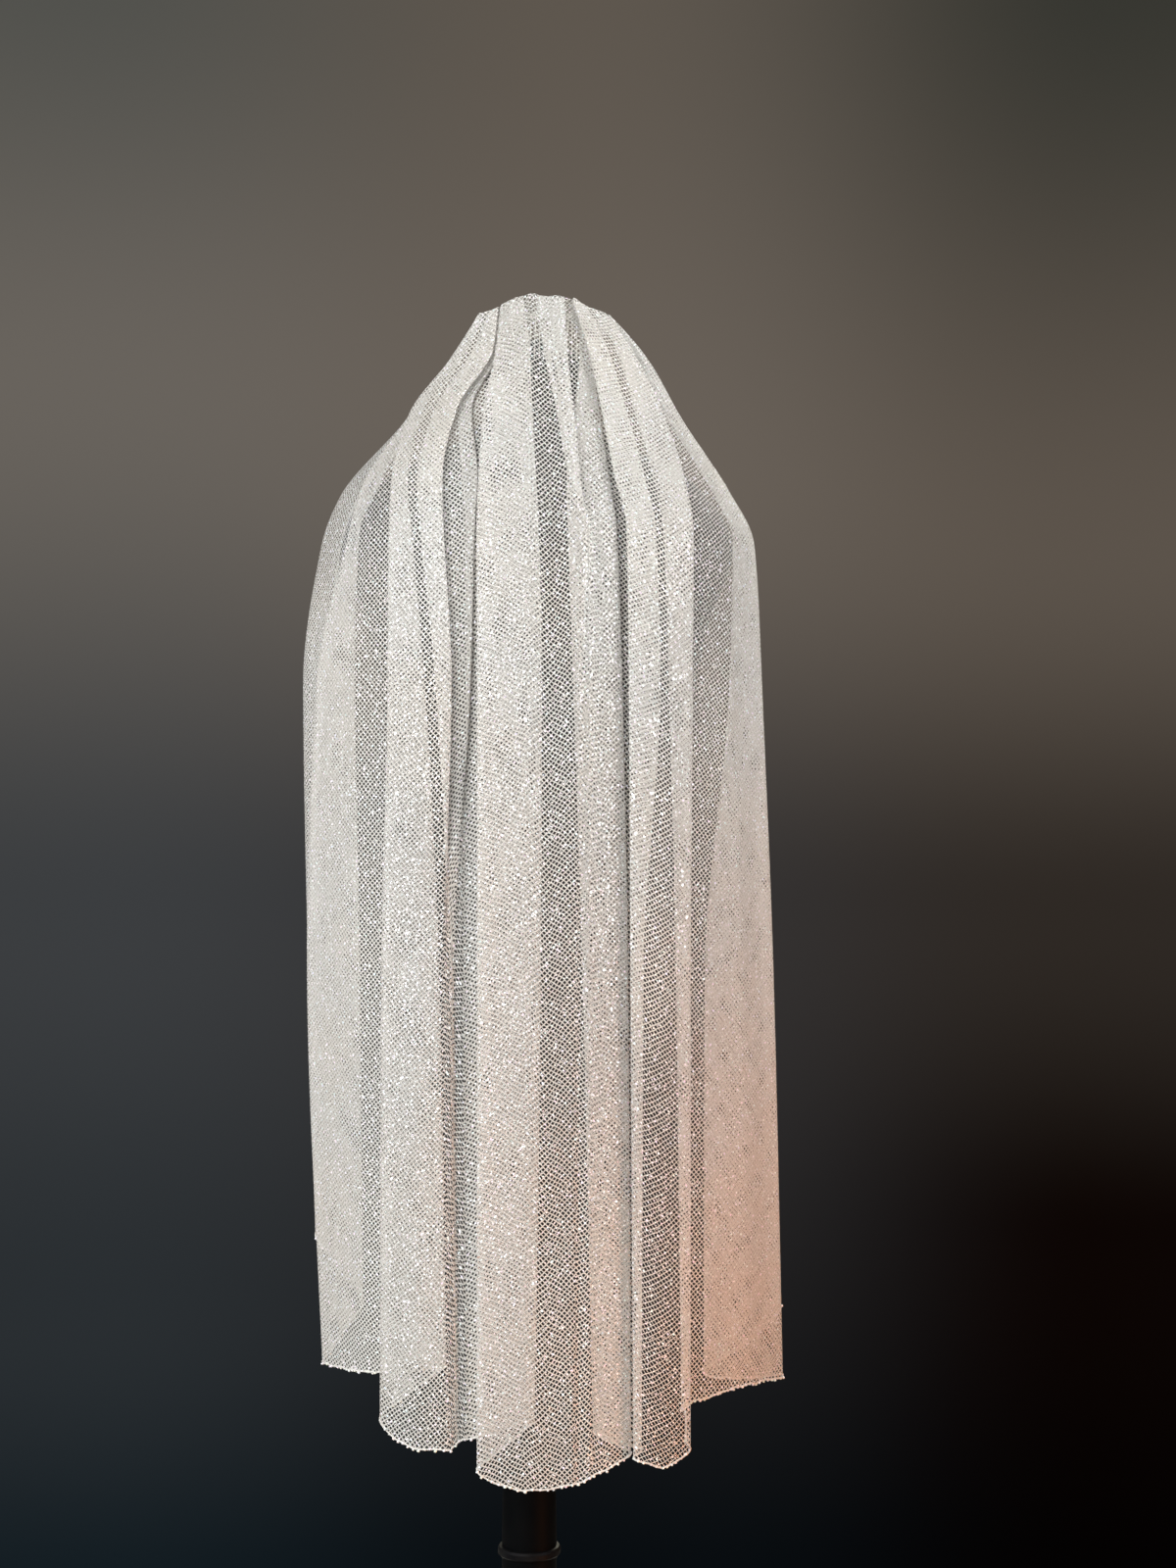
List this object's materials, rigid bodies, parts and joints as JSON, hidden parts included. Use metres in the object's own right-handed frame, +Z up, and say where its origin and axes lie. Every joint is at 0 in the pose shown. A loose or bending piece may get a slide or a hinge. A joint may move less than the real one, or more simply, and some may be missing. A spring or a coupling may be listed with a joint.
{
  "type": "bridal veil on a display form",
  "caption": "Fingertip veil of sheer glitter net, gathered on a comb and falling in knife pleats over a plain limbless bust form on a stem and round base.",
  "frame": {"origin": "centre of the base's underside, on the floor", "axes": "+Z up; the back of the veil, the side with the long pleats, faces -Y; its open front faces +Y; +X is the veil's right as seen from behind"},
  "size_m": [0.483, 0.33, 1.6553],
  "materials": {
    "tulle": "sheer ivory glitter net, fine diagonal mesh with small sparkles, whipped beaded edge",
    "comb": "plain translucent plastic",
    "form_cover": "black stretch jersey",
    "form_block": "black satin plastic",
    "form_stem": "black satin lacquer",
    "form_base": "black satin powder coat"
  },
  "bodies": {
    "root": {"veil_panel": "tulle", "comb": "comb", "form_torso": "form_cover", "form_neck_block": "form_block", "form_stem": "form_stem", "form_base": "form_base"}
  },
  "joints": []
}
